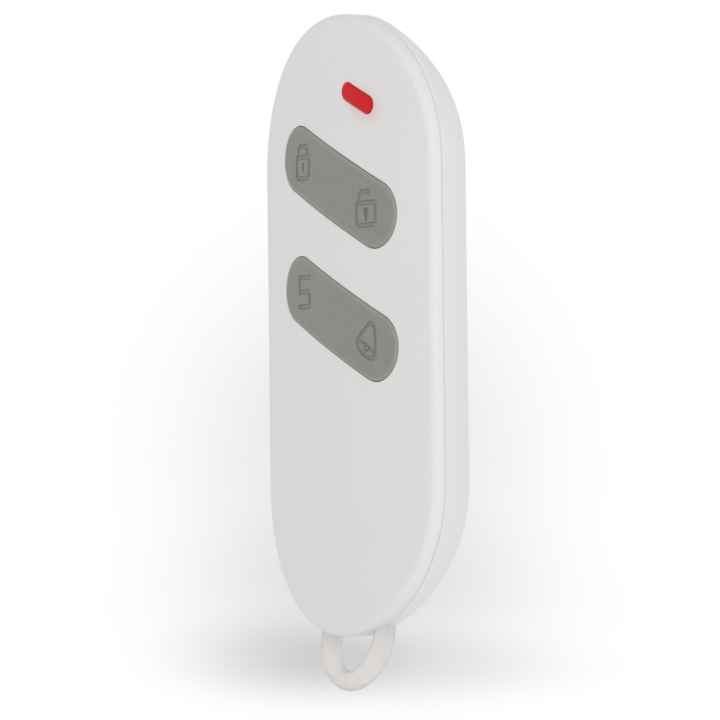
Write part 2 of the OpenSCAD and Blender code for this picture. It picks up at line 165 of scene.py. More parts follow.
stage = {
    "floorZ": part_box("key_loop")[0].z,  # the loop's lowest point stands on the floor
    "floorHalf": 30.0,
    "paper": "#F4F4F4",
    "lift": 0.13,  # light added to the paper that the camera sees
    "bounce": 0.155,  # light that the bright table gives back by itself
    "paperNear": 0.001,  # radius in metres inside which the paper keeps its shading
    "paperFar": 0.007,  # radius from which the paper gives way to the backdrop
    "fill": 0.658,  # strength of the surrounding light
    "shadowFade": 2.5,  # each painted soft shadow on the white backdrop ends at this many times its reach
    "shadowAlong": 0.1,  # its reach along the line of sight, in shares of the distance
    # middle and reach in pixels of the camera's frame, depth of the painted shadow;
    # middle and reach in pixels of the photo's frame, depth of the grey
    "paintedShadows": [
        ((359, 460), (120, 134), 0.191),
        ((365, 603), (131, 55), 0.118),
        ((286, 659), (75, 26), 0.168),
        ((416, 667), (102, 21), 0.128),
    ],
}


def seenDirectly(tree):
    # 1 for what the camera sees, by itself or through gloss and glass
    path = addNode(tree, "LightPath")
    direct = addNode(tree, "Math", {0: path.outputs["Is Camera Ray"], 1: path.outputs["Is Glossy Ray"]},
                     operation="MAXIMUM")
    return addNode(tree, "Math", {0: direct.outputs[0], 1: path.outputs["Is Transmission Ray"]},
                   operation="MAXIMUM").outputs[0]


def addWorld(look):
    # Even white light; the camera sees white less the painted soft shadows instead
    world = bpy.data.worlds.new("studio")
    world.use_nodes = True
    tree = world.node_tree
    tree.nodes.clear()
    heading = addNode(tree, "TexCoord").outputs["Generated"]
    turn = scene.camera.matrix_world.to_3x3()
    focal = scene.camera.data.lens / scene.camera.data.sensor_width * photoView["frameSize"]
    half = photoView["frameSize"] / 2
    white = 1.0
    for middle, reach, depth in look["paintedShadows"]:
        # Each painted shadow fades smoothly from its middle direction to nothing at the end of its reach
        aim = (turn @ Vector((middle[0] - half, half - middle[1], -focal))).normalized()
        near = addNode(tree, "Mapping", {
            "Vector": heading, "Location": aim, "Rotation": turn.to_euler(),
            "Scale": (reach[0] / focal, reach[1] / focal, look["shadowAlong"])}, vector_type="TEXTURE")
        away = addNode(tree, "VectorMath", {0: near.outputs[0]}, operation="LENGTH")
        paintedShadow = addNode(tree, "MapRange", {
            "Value": away.outputs["Value"], "From Max": look["shadowFade"], "To Min": depth, "To Max": 0.0},
            interpolation_type="SMOOTHERSTEP")
        white = addNode(tree, "Math", {0: white, 1: paintedShadow.outputs[0]}, operation="SUBTRACT").outputs[0]
    strength = addNode(tree, "Mix", {0: seenDirectly(tree), 2: look["fill"], 3: white})
    light = addNode(tree, "Background", {"Color": (1, 1, 1, 1), "Strength": strength.outputs[0]})
    addNode(tree, "OutputWorld", {"Surface": light.outputs[0]})
    scene.world = world


def paperFloor(look):
    # White paper: lit as paper, with a lift for the camera so that only shaded paper is below white;
    # away from the object it lets the white backdrop through
    material, tree = emptyMaterial("paperFloor")
    paper = addNode(tree, "BsdfDiffuse", {"Color": linear(look["paper"])})
    lift = addNode(tree, "Emission", {"Color": (1, 1, 1, 1), "Strength": look["lift"]})
    lifted = addNode(tree, "AddShader", {0: paper.outputs[0], 1: lift.outputs[0]})
    place = addNode(tree, "TexCoord").outputs["Object"]
    away = addNode(tree, "VectorMath", {0: place}, operation="LENGTH")
    far = addNode(tree, "MapRange", {
        "Value": away.outputs["Value"], "From Min": look["paperNear"], "From Max": look["paperFar"]},
        interpolation_type="SMOOTHSTEP")
    clear = addNode(tree, "BsdfTransparent")
    faded = addNode(tree, "MixShader", {0: far.outputs[0], 1: lifted.outputs[0], 2: clear.outputs[0]})
    bounce = addNode(tree, "Emission", {"Color": (1, 1, 1, 1), "Strength": look["bounce"]})
    table = addNode(tree, "AddShader", {0: paper.outputs[0], 1: bounce.outputs[0]})
    seen = addNode(tree, "MixShader", {0: seenDirectly(tree), 1: table.outputs[0], 2: faded.outputs[0]})
    material.cycles.emission_sampling = "NONE"
    addNode(tree, "OutputMaterial", {"Surface": seen.outputs[0]})
    mesh = bpy.data.meshes.new("floor")
    h, z = look["floorHalf"], look["floorZ"]
    mesh.from_pydata([(-h, -h, z), (h, -h, z), (h, h, z), (-h, h, z)], [], [(0, 1, 2, 3)])
    mesh.materials.append(material)
    floor = bpy.data.objects.new("floor", mesh)
    scene.collection.objects.link(floor)


softBoxes = [
    # name, where it hangs seen from the object in metres, width and height in metres, watts
    ("frontBox", (0.325, -1.213, 0.376), 0.6, 0.6, 2.38),
    ("rightBox", (1.280, 0.0, 0.266), 0.6, 0.6, 3.95),
    ("rearBox", (1.049, 0.734, 0.266), 0.6, 0.6, 0.50),
]


def addLights():
    # Square soft boxes, each aimed at the middle of the object
    for name, place, wide, tall, power in softBoxes:
        data = bpy.data.lights.new(name, "AREA")
        data.shape = "RECTANGLE"
        data.size, data.size_y = wide, tall
        data.energy = power
        lamp = bpy.data.objects.new(name, data)
        lamp.location = place
        aim = Vector((0, 0, midZ * mm)) - Vector(place)
        lamp.rotation_euler = aim.to_track_quat("-Z", "Y").to_euler()
        scene.collection.objects.link(lamp)


scene.view_settings.view_transform = "Standard"
addCamera(photoView)
addWorld(stage)
paperFloor(stage)
addLights()
print("stage ready")


# Materials


def softTone(tree, dark, light, size, detail):
    # The place, soft patches of the given size in millimetres, and two close colours mixed by them
    place = addNode(tree, "TexCoord").outputs["Object"]
    cloud = addNode(tree, "TexNoise", {"Vector": place, "Scale": 1 / (size * mm), "Detail": detail})
    tint = addNode(tree, "Mix", {0: cloud.outputs[0], 6: linear(dark), 7: linear(light)}, data_type="RGBA")
    return place, cloud.outputs[0], tint.outputs[2]


whiteLook = {
    "dark": "#E3E1E1",
    "light": "#E7E5E4",
    "cloud": 9.0,  # millimetres across a soft patch of tone
    "grain": 0.22,  # about 0.1 mm in life, and drawn coarser so that it shows
    # painted red light, as if spilled from the lens on to the white round it
    "paintedRedLight": "#E0A9AC",
    "paintedRedShare": 0.30,
    "paintedRedAt": (1.2, 0.0, -0.95),  # middle of the painted red light, from the middle of the lens
    "paintedRedReach": (5.2, 3.0, 2.7),
    "paintedRedCore": 0.35,  # share of that reach with the full painted red light
}


def whiteAbs(look):
    # ABS moulded in a spark-eroded tool: an even soft white with a fine matte grain and a soft sheen.
    # Red light spilling from the window is painted into the white below and right of it
    material, tree = emptyMaterial("whiteAbs")
    place, _, tint = softTone(tree, look["dark"], look["light"], look["cloud"], 3)
    low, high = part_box("indicator_lens")
    beside = (low + high) / 2 + Vector(look["paintedRedAt"]) * mm
    beside.y = low.y
    near = addNode(tree, "Mapping", {
        "Vector": place, "Location": beside, "Rotation": (0, slope, 0),
        "Scale": Vector(look["paintedRedReach"]) * mm}, vector_type="TEXTURE")
    away = addNode(tree, "VectorMath", {0: near.outputs[0]}, operation="LENGTH")
    # painted red light: full near the lens, fading to none at the end of its reach
    paintedRedLight = addNode(tree, "MapRange", {
        "Value": away.outputs["Value"], "From Min": look["paintedRedCore"], "From Max": 1.0,
        "To Min": look["paintedRedShare"], "To Max": 0.0}, interpolation_type="SMOOTHSTEP")
    # the white with the painted red light mixed in
    warm = addNode(tree, "Mix", {0: paintedRedLight.outputs[0], 6: tint, 7: linear(look["paintedRedLight"])},
                   data_type="RGBA")
    grain = addNode(tree, "TexNoise", {"Vector": place, "Scale": 1 / (look["grain"] * mm), "Detail": 2})
    gloss = addNode(tree, "MapRange", {"Value": grain.outputs[0], "To Min": 0.46, "To Max": 0.58})
    bump = addNode(tree, "Bump", {"Height": grain.outputs[0], "Strength": 0.10, "Distance": 0.02 * mm})
    shader = addNode(tree, "BsdfPrincipled", {
        "Base Color": warm.outputs[2], "Roughness": gloss.outputs[0], "IOR": 1.53,
        "Specular IOR Level": 0.12, "Normal": bump.outputs[0]})
    addNode(tree, "OutputMaterial", {"Surface": shader.outputs[0]})
    return material


greyLook = {
    "dark": "#7A7872",
    "light": "#95938D",
    # painted shade colour for the sunk signs
    "paintedGrooveShade": "#50514C",
    # painted highlight colour for the rounded edges of the keys
    "edge": "#A5A196",
    "edgeHighlightShare": 0.45,
    "cloud": 1.6,  # millimetres across a soft patch of tone
    "speck": 0.34,  # about 0.1 mm in life, and drawn coarser so that it shows
    "speckShare": 0.65,
    "grain": 0.16,  # the same for its bumps
}


def greyKeyAbs(look):
    # ABS through-coloured warm grey, matte; the sunk signs are darkened by painted shade, and the rounded
    # edges lightened by a painted highlight
    material, tree = emptyMaterial("greyKeyAbs")
    place = addNode(tree, "TexCoord").outputs["Object"]
    cloud = addNode(tree, "TexNoise", {"Vector": place, "Scale": 1 / (look["cloud"] * mm), "Detail": 4})
    speck = addNode(tree, "TexNoise", {"Vector": place, "Scale": 1 / (look["speck"] * mm), "Detail": 2})
    mixed = addNode(tree, "Mix", {0: look["speckShare"], 2: cloud.outputs[0], 3: speck.outputs[0]})
    tint = addNode(tree, "Mix", {
        0: mixed.outputs[0], 6: linear(look["dark"]), 7: linear(look["light"])}, data_type="RGBA")
    # painted shade in the sunk signs, darkest on their walls and in the keyholes
    sunk = addNode(tree, "Attribute", attribute_name="paintedGrooveShade")
    shade = addNode(tree, "Mix", {
        0: sunk.outputs["Fac"], 6: tint.outputs[2], 7: linear(look["paintedGrooveShade"])}, data_type="RGBA")
    # painted highlight on the rounded edges
    edge = addNode(tree, "Attribute", attribute_name="edge")
    paintedEdgeHighlight = addNode(tree, "Math", {0: edge.outputs["Fac"], 1: look["edgeHighlightShare"]}, operation="MULTIPLY")
    withEdgeHighlight = addNode(tree, "Mix", {0: paintedEdgeHighlight.outputs[0], 6: shade.outputs[2], 7: linear(look["edge"])},
                      data_type="RGBA")
    grain = addNode(tree, "TexNoise", {"Vector": place, "Scale": 1 / (look["grain"] * mm), "Detail": 2})
    bump = addNode(tree, "Bump", {"Height": grain.outputs[0], "Strength": 0.15, "Distance": 0.02 * mm})
    gloss = addNode(tree, "MapRange", {"Value": grain.outputs[0], "To Min": 0.50, "To Max": 0.62})
    shader = addNode(tree, "BsdfPrincipled", {
        "Base Color": withEdgeHighlight.outputs[2], "Roughness": gloss.outputs[0], "IOR": 1.53,
        "Normal": bump.outputs[0]})
    addNode(tree, "OutputMaterial", {"Surface": shader.outputs[0]})
    return material


redLook = {
    "dark": "#CA0C1A",
    "light": "#D81422",
    "cloud": 1.2,  # millimetres across a soft patch of tone
}


def redPolycarbonate(look):
    # Polycarbonate tinted red and polished: deep even colour under a clear gloss
    material, tree = emptyMaterial("redPolycarbonate")
    _, _, tint = softTone(tree, look["dark"], look["light"], look["cloud"], 2)
    shader = addNode(tree, "BsdfPrincipled", {
        "Base Color": tint, "Roughness": 0.14, "IOR": 1.58, "Specular IOR Level": 0.1})
    addNode(tree, "OutputMaterial", {"Surface": shader.outputs[0]})
    return material


nylonLook = {
    "dark": "#F5F2F0",
    "light": "#F8F6F5",
    "cloud": 2.5,  # millimetres across a soft patch of tone
    "shut": "#E5E6E6",  # painted shade near the housing
    "housingShadeShare": 0.45,
    "housingShadeFrom": -2.5,  # heights in millimetres between which that painted shade comes in
    "shutTo": 3.0,
    "rim": "#A9ABAC",  # painted shade towards the outline
    "outlineShadeShare": 0.5,
    "outlineShadeFrom": 0.35,  # how far the skin is turned away where that starts and ends
    "outlineShadeTo": 0.95,
    "through": 0.62,  # share of the light that comes through the rod
    "sheenIor": 1.15,  # below nylon's own 1.53, as the highlights are faint
}


def naturalNylon(look):
    # Nylon moulded in its natural milky white: light spreads inside it, so its shades stay soft.
    # Painted shade darkens it towards its outline, by the angle at which it is seen, and also near
    # the housing
    material, tree = emptyMaterial("naturalNylon")
    place, _, tint = softTone(tree, look["dark"], look["light"], look["cloud"], 3)
    # painted shade: the nylon is darker towards the housing
    height = addNode(tree, "SeparateXYZ", {0: place})
    shut = addNode(tree, "MapRange", {
        "Value": height.outputs["Z"], "From Min": look["housingShadeFrom"] * mm, "From Max": look["shutTo"] * mm,
        "To Max": look["housingShadeShare"]}, interpolation_type="SMOOTHSTEP")
    shadedNearHousing = addNode(tree, "Mix", {0: shut.outputs[0], 6: tint, 7: linear(look["shut"])},
                  data_type="RGBA")
    # painted shade towards the outline, by the angle at which the surface is seen
    side = addNode(tree, "LayerWeight", {"Blend": 0.5})
    paintedOutlineShade = addNode(tree, "MapRange", {
        "Value": side.outputs["Facing"], "From Min": look["outlineShadeFrom"], "From Max": look["outlineShadeTo"],
        "To Max": look["outlineShadeShare"]}, interpolation_type="SMOOTHSTEP")
    body = addNode(tree, "Mix", {0: paintedOutlineShade.outputs[0], 6: shadedNearHousing.outputs[2], 7: linear(look["rim"])},
                   data_type="RGBA")
    skinLight = addNode(tree, "BsdfDiffuse", {"Color": body.outputs[2]})
    through = addNode(tree, "BsdfTranslucent", {"Color": body.outputs[2]})
    milky = addNode(tree, "MixShader", {
        0: look["through"], 1: skinLight.outputs[0], 2: through.outputs[0]})
    gloss = addNode(tree, "BsdfGlossy", {"Color": (1, 1, 1, 1), "Roughness": 0.25})
    sheen = addNode(tree, "Fresnel", {"IOR": look["sheenIor"]})
    shader = addNode(tree, "MixShader", {0: sheen.outputs[0], 1: milky.outputs[0], 2: gloss.outputs[0]})
    addNode(tree, "OutputMaterial", {"Surface": shader.outputs[0]})
    return material


def mottled(name, dark, light, size, roughness, metallic=0.0):
    # Plain finish of an inner piece: its soft patches also change the gloss and the height a little
    material, tree = emptyMaterial(name)
    _, cloud, tint = softTone(tree, dark, light, size, 4)
    gloss = addNode(tree, "MapRange", {
        "Value": cloud, "To Min": roughness - 0.06, "To Max": roughness + 0.06})
    bump = addNode(tree, "Bump", {"Height": cloud, "Strength": 0.1, "Distance": 0.02 * mm})
    shader = addNode(tree, "BsdfPrincipled", {
        "Base Color": tint, "Roughness": gloss.outputs[0], "Metallic": metallic,
        "Normal": bump.outputs[0]})
    addNode(tree, "OutputMaterial", {"Surface": shader.outputs[0]})
    return material


finish = {
    "white_shell": whiteAbs(whiteLook),
    "grey_key": greyKeyAbs(greyLook),
    "red_lens": redPolycarbonate(redLook),
    "loop_nylon": naturalNylon(nylonLook),
    "board_laminate": mottled("greenSolderResist", "#1D5C34", "#2A7444", 3, 0.35),
    "cell_steel": mottled("nickelPlatedCan", "#B4B4B2", "#C8C8C6", 1.5, 0.28, 1.0),
    "spring_metal": mottled("platedPhosphorBronze", "#BFAE86", "#D2C39C", 1.5, 0.32, 1.0),
    "dome_steel": mottled("springSteel", "#A9ABAF", "#BDBFC3", 0.8, 0.26, 1.0),
    "led_body": mottled("ledMoulding", "#E6E0CC", "#F0EBDA", 0.8, 0.30),
    "chip_black": mottled("blackEpoxy", "#1B1B1D", "#26262A", 0.4, 0.55),
    "ceramic": mottled("firedCeramic", "#B79B74", "#C8AE8A", 0.5, 0.50),
    "ferrite": mottled("woundFerrite", "#3A2A20", "#54392A", 0.3, 0.45),
    "screw_steel": mottled("zincPlatedSteel", "#A8AAAC", "#BEC0C2", 0.5, 0.30, 1.0),
}
print("finishes ready")


# Meshes from grids of points


def newShell():
    # Points, faces and the count of points of one piece, still empty
    return {"points": [], "faces": [], "count": 0}


def addPoints(shell, x, y, z):
    # Keeps one grid of points and gives back their numbers in the same grid
    x, y, z = np.broadcast_arrays(x, y, z)
    number = shell["count"] + np.arange(x.size).reshape(x.shape)
    shell["points"].append(np.stack([x, y, z], axis=-1).reshape(-1, 3))
    shell["count"] += x.size
    return number


def addQuads(shell, number, closed=False, keep=None):
    # One quad for each cell of a grid of point numbers; a closed grid joins its last column to its first
    if closed:
        number = np.concatenate([number, number[:, :1]], axis=1)
    quads = np.stack([number[:-1, :-1], number[:-1, 1:], number[1:, 1:], number[1:, :-1]], axis=-1)
    quads = quads.reshape(-1, 4) if keep is None else quads[keep]
    shell["faces"] += quads.tolist()


def addPiece(name, shell, slot, body, sharp=35):
    # Puts the points in a mesh with faces outwards, smooth but for edges sharper than the given angle
    mesh = bpy.data.meshes.new(name)
    mesh.from_pydata(np.concatenate(shell["points"]) * mm, [], shell["faces"])
    work = bmesh.new()
    work.from_mesh(mesh)
    bmesh.ops.recalc_face_normals(work, faces=work.faces)
    work.to_mesh(mesh)
    work.free()
    mesh.shade_smooth()
    mesh.set_sharp_from_angle(angle=math.radians(sharp))
    mesh.materials.append(finish[slot])
    piece = bpy.data.objects.new(name, mesh)
    scene.collection.objects.link(piece)
    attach(piece, body)
    return piece


def boxLoop(i0, i1, j0, j1):
    # Grid places once round a box of cells: up its first column, along its last row, down and back
    tall, wide = i1 - i0, j1 - j0
    i = np.concatenate([np.arange(i0, i1), np.full(wide, i1), np.arange(i1, i0, -1), np.full(wide, i0)])
    j = np.concatenate([np.full(tall, j0), np.arange(j0, j1), np.full(tall, j1), np.arange(j1, j0, -1)])
    return i, j


def outlineSides(w, radius, turn):
    # Left and right ends of rows at the heights w, turned by the angle, in a stadium of the given
    # end radius: on its straight side where the row meets it, else on the arc of an end
    c, s = math.cos(turn), math.sin(turn)
    ends = []
    for side in (-1, 1):
        z = (w - side * radius * s) / c
        straight = side * radius * c - z * s
        capZ = endZ * np.sign(z)
        rounded = -capZ * s + side * np.sqrt(np.maximum(radius ** 2 - (w - capZ * c) ** 2, 0))
        ends.append(np.where(np.abs(z) <= endZ, straight, rounded))
    return ends


plateRows = {
    "step": 0.6,  # millimetres between rows
    "between": 1.5,  # rows between two windows are this many times as far apart
    "lastRow": 0.97,  # share of a quarter wave at which the rows stop
    "windowTurn": 80,  # degrees over which the rows follow a window's round end, up and down
    "windowRows": 17,
    "across": 14,  # cells beside a window
    "within": 40,  # cells over a window
}


def plateGrid(radius, turn, windows):
    # Rows of points fill the stadium outline. A row that meets a window is split at the window's two
    # ends, and the cells between them stay open. The rows at a window's edges and at both ends of
    # the plate bend on to the outline there
    c, s = math.cos(turn), math.sin(turn)
    step, across, within = plateRows["step"], plateRows["across"], plateRows["within"]
    marks = sorted((x * s + z * c, x * c - z * s, half, r) for x, z, half, r in windows)
    top = endZ * c + radius
    low, high = marks[0][0] - marks[0][3], marks[-1][0] + marks[-1][3]
    mostLean = plateRows["windowTurn"]
    lean = np.sin(np.radians(np.linspace(-mostLean, mostLean, plateRows["windowRows"])))

    def easing(w0):
        # Closer rows towards the end; their number hangs on the window's place alone
        count = int((endZ * c + halfWide - abs(w0)) / step)
        return np.sin(np.pi / 2 * np.linspace(0, plateRows["lastRow"], count + 1)[1:])

    heights = [low - (top + low) * easing(marks[0][0])[::-1]]
    bands = []
    for k, (w0, u0, half, r) in enumerate(marks):
        start = sum(map(len, heights))
        heights.append(w0 + r * lean)
        bands.append((start, start + len(lean) - 1))
        if k + 1 < len(marks):
            upper = marks[k + 1][0] - marks[k + 1][3]
            count = int((marks[k + 1][0] - w0) / step / plateRows["between"])
            heights.append(np.linspace(w0 + r, upper, count + 2)[1:-1])
    heights.append(high + (top - high) * easing(marks[-1][0]))
    w = np.concatenate(heights)
    left, right = outlineSides(w, radius, turn)
    share = np.zeros((2, len(w)))
    known = np.zeros(len(w), bool)
    for (w0, u0, half, r), (first, last) in zip(marks, bands):
        rows = slice(first, last + 1)
        reach = half + np.sqrt(r ** 2 - (w[rows] - w0) ** 2)
        for k, side in enumerate((-1, 1)):
            share[k, rows] = (u0 + side * reach - left[rows]) / (right[rows] - left[rows])
        known[rows] = True
    a, b = [np.interp(w, w[known], one[known])[:, None] for one in share]
    side, middle = np.linspace(0, 1, across + 1), np.linspace(0, 1, within + 1)
    part = np.concatenate([a * side[:-1], a + (b - a) * middle[:-1], b + (1 - b) * side], axis=1)
    u = left[:, None] + (right - left)[:, None] * part
    w = np.repeat(w[:, None], u.shape[1], axis=1)
    keep = np.ones((len(w) - 1, u.shape[1] - 1), bool)
    holes = []
    inner = slice(across, across + within + 1)
    for (w0, u0, half, r), (first, last) in zip(marks, bands):
        for row, way in ((first, -1), (last, 1)):
            beyond = np.maximum(np.abs(u[row, inner] - u0) - half, 0)
            w[row, inner] = w0 + way * np.sqrt(r ** 2 - beyond ** 2)
        keep[first:last, across:across + within] = False
        loop = boxLoop(first, last, across, across + within)
        du, dw = u[loop] - u0, w[loop] - w0
        spine = np.clip(du, -half, half)
        holes.append({"loop": loop, "spine": (u0 + spine, w0), "out": ((du - spine) / r, dw / r)})
    for row, way in ((0, -1), (-1, 1)):
        w[row] = way * (endZ * c + np.sqrt(radius ** 2 - (u[row] + way * endZ * s) ** 2))
    edge = boxLoop(0, len(w) - 1, 0, u.shape[1] - 1)
    return {"x": u * c + w * s, "z": w * c - u * s, "keep": keep, "holes": holes, "edge": edge}


def holeRing(hole, radius, turn):
    # The window's outline at another radius, point for point
    c, s = math.cos(turn), math.sin(turn)
    u = hole["spine"][0] + hole["out"][0] * radius
    w = hole["spine"][1] + hole["out"][1] * radius
    return u * c + w * s, w * c - u * s


def edgeRing(x, z, radius):
    # The stadium outline at another end radius, point for point
    spine = np.clip(z, -endZ, endZ)
    length = np.hypot(x, z - spine)
    return x / length * radius, spine + (z - spine) / length * radius


def bowDepth(x, edgeY, rise, inset=0.0):
    # A circle through both side edges that bows towards the viewer by rise, drawn in by inset
    r = (halfWide ** 2 + rise ** 2) / (2 * rise)
    return edgeY - rise + r - np.sqrt((r - inset) ** 2 - x ** 2)


def faceDepth(x, inset=0.0):
    # The bowed face, or the same bow at a depth under it
    return bowDepth(x, rimY, housing["faceRise"], inset)


def seamDepth(x):
    # The parting line: a flatter bow behind the face
    return bowDepth(x, rimY + housing["seamDeep"], housing["seamBow"])


def quarter(steps):
    # Sine and cosine over a quarter turn, without its start
    angle = np.linspace(0, np.pi / 2, steps + 1)[1:]
    return list(zip(np.sin(angle), np.cos(angle)))


# Rocker keys, lens and their windows

keySize = {
    "half": 9.1,  # half of the straight length
    "radius": 4.0,
    "gap": 0.10,
    "edgeWide": 0.45,  # rounded edge, measured across and down
    "edgeDrop": 0.24,
    "edgeSteps": 6,
    "edgeHighlightFrom": 1.3,  # the painted edge highlight starts this many edge widths inside the outline
    "proud": 0.12,
    "backY": rimY + 0.3,
    "step": 0.052,  # millimetres between points of the top
    "lip": 0.06,  # broken edge of the window
}
lensSize = {
    "half": 2.25,
    "radius": 1.16,
    "gap": 0.005,
    "edgeWide": 0.35,
    "edgeDrop": 0.30,
    "edgeSteps": 6,
    "proud": 0.15,
    "backY": rimY + 1.35,
    "step": 0.12,
    "lip": 0.015,
}


def middleOf(node):
    # Middle of a node's box seen from the front, from the middle of the body
    low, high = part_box(node)
    return (low.x + high.x) / 2 / mm, (low.z + high.z) / 2 / mm - midZ


# where each window is, and the size of what fills it
spots = {
    "upper_rocker_key": (0.0, joints["upper_key_rock"]["pos_m"][2] / mm - midZ, keySize),
    "lower_rocker_key": (0.0, joints["lower_key_rock"]["pos_m"][2] / mm - midZ, keySize),
    "indicator_lens": (*middleOf("indicator_lens"), lensSize),
}


def frontCover():
    # Face plate with three windows, carried round its edge and the parting line to an inner plate
    h = housing
    shell = newShell()
    windows, bores = [], []
    for x, z, size in spots.values():
        bore = size["radius"] + size["gap"]
        windows.append((x, z, size["half"], bore + size["lip"]))
        bores.append((x, z, size["half"], bore))
    outer = plateGrid(halfWide - h["edgeRound"], slope, windows)
    inner = plateGrid(halfWide - h["wall"], slope, bores)
    outerNumber = addPoints(shell, outer["x"], faceDepth(outer["x"]), outer["z"] + midZ)
    innerNumber = addPoints(shell, inner["x"], faceDepth(inner["x"], h["wall"]), inner["z"] + midZ)
    addQuads(shell, outerNumber, keep=outer["keep"])
    addQuads(shell, innerNumber, keep=inner["keep"])
    rings = [outerNumber[outer["edge"]]]
    rimX, rimZ = outer["x"][outer["edge"]], outer["z"][outer["edge"]]
    # rounded edge of the face
    for sine, cosine in quarter(h["edgeSteps"]):
        x, z = edgeRing(rimX, rimZ, halfWide - h["edgeRound"] * (1 - sine))
        rings.append(addPoints(shell, x, faceDepth(x) + h["edgeRound"] * (1 - cosine), z + midZ))
    # straight side, and the broken edge at the parting line
    x, z = edgeRing(rimX, rimZ, halfWide)
    along, dip = h["frontEdge"]
    rings.append(addPoints(shell, x, seamDepth(x) - along, z + midZ))
    for sine, cosine in quarter(h["seamSteps"]):
        x, z = edgeRing(rimX, rimZ, halfWide - dip * (1 - cosine))
        rings.append(addPoints(shell, x, seamDepth(x) - along * (1 - sine), z + midZ))
    # tongue that reaches into the rear cover
    for inset, deep in ((h["wall"] - h["tongueThick"], 0), (h["wall"] - h["tongueThick"], h["tongueDeep"]),
                        (h["wall"], h["tongueDeep"])):
        x, z = edgeRing(rimX, rimZ, halfWide - inset)
        rings.append(addPoints(shell, x, seamDepth(x) + deep, z + midZ))
    rings.append(innerNumber[inner["edge"]])
    addQuads(shell, np.array(rings), closed=True)
    # window walls, in the order of the grid's holes
    order = sorted(spots.values(), key=lambda spot: spot[0] * math.sin(slope) + spot[1] * math.cos(slope))
    for (_, _, size), hole, inside in zip(order, outer["holes"], inner["holes"]):
        rings = [outerNumber[hole["loop"]]]
        bore = size["radius"] + size["gap"]
        for sine, cosine in quarter(h["lipSteps"]):
            x, z = holeRing(hole, bore + size["lip"] * (1 - sine), slope)
            rings.append(addPoints(shell, x, faceDepth(x) + size["lip"] * (1 - cosine), z + midZ))
        rings.append(innerNumber[inside["loop"]])
        addQuads(shell, np.array(rings), closed=True)
    piece = addPiece("frontCover", shell, "white_shell", "housing")
    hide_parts("front_cover")
    return piece


frontPiece = frontCover()
print("front cover:", len(frontPiece.data.polygons), "faces")

screwHole = {
    "fromEnd": 6.5,  # from the body's end to the screw
    "seatY": rimY + 6.9,  # under the screw's head
    "radius": 1.75,
    "bore": 0.95,
    "boss": 2.0,  # radius of the post inside
    "floor": 1.6,  # thickness under the seat
    "lip": 0.12,  # broken edge of the well
}


